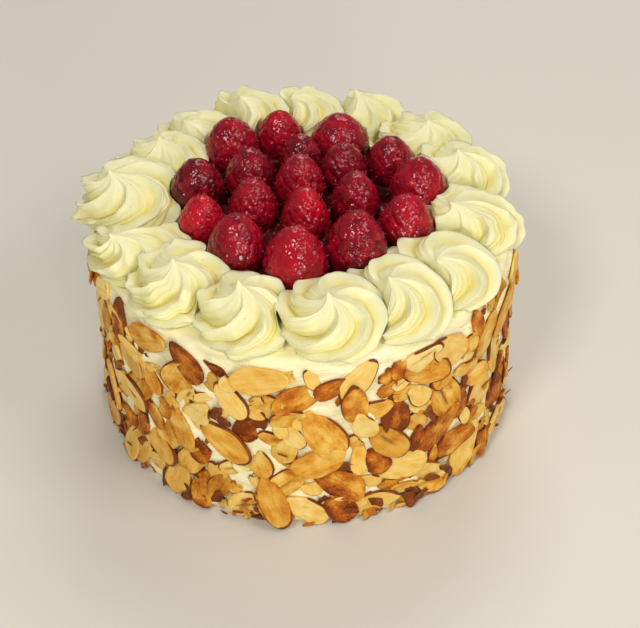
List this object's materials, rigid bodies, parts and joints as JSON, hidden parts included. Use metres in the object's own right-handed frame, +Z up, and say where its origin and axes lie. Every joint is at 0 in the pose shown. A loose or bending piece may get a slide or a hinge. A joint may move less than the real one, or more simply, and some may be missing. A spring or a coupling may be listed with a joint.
{
  "type": "raspberry cake",
  "caption": "Tall round layer cake in buttercream, with toasted almond slices round the side, a ring of piped rosettes on top and glazed raspberries inside the ring.",
  "frame": {"origin": "centre of the cake's flat underside", "axes": "+Z up out of the top of the cake, -Y the front as pictured, +X to the right seen from the front"},
  "size_m": [0.1657, 0.1606, 0.103],
  "materials": {
    "almond": "toasted almond slices pressed into cream",
    "buttercream": "smooth piped buttercream with a soft sheen",
    "raspberry": "glazed berry skin"
  },
  "bodies": {
    "root": {"cake_body": "almond", "rosette_01": "buttercream", "rosette_02": "buttercream", "rosette_03": "buttercream", "rosette_04": "buttercream", "rosette_05": "buttercream", "rosette_06": "buttercream", "rosette_07": "buttercream", "rosette_08": "buttercream", "rosette_09": "buttercream", "rosette_10": "buttercream", "rosette_11": "buttercream", "rosette_12": "buttercream", "rosette_13": "buttercream", "rosette_14": "buttercream", "rosette_15": "buttercream", "raspberry_01": "raspberry", "raspberry_02": "raspberry", "raspberry_03": "raspberry", "raspberry_04": "raspberry", "raspberry_05": "raspberry", "raspberry_06": "raspberry", "raspberry_07": "raspberry", "raspberry_08": "raspberry", "raspberry_09": "raspberry", "raspberry_10": "raspberry", "raspberry_11": "raspberry", "raspberry_12": "raspberry", "raspberry_13": "raspberry", "raspberry_14": "raspberry", "raspberry_15": "raspberry", "raspberry_16": "raspberry", "raspberry_17": "raspberry", "raspberry_18": "raspberry"}
  },
  "joints": []
}
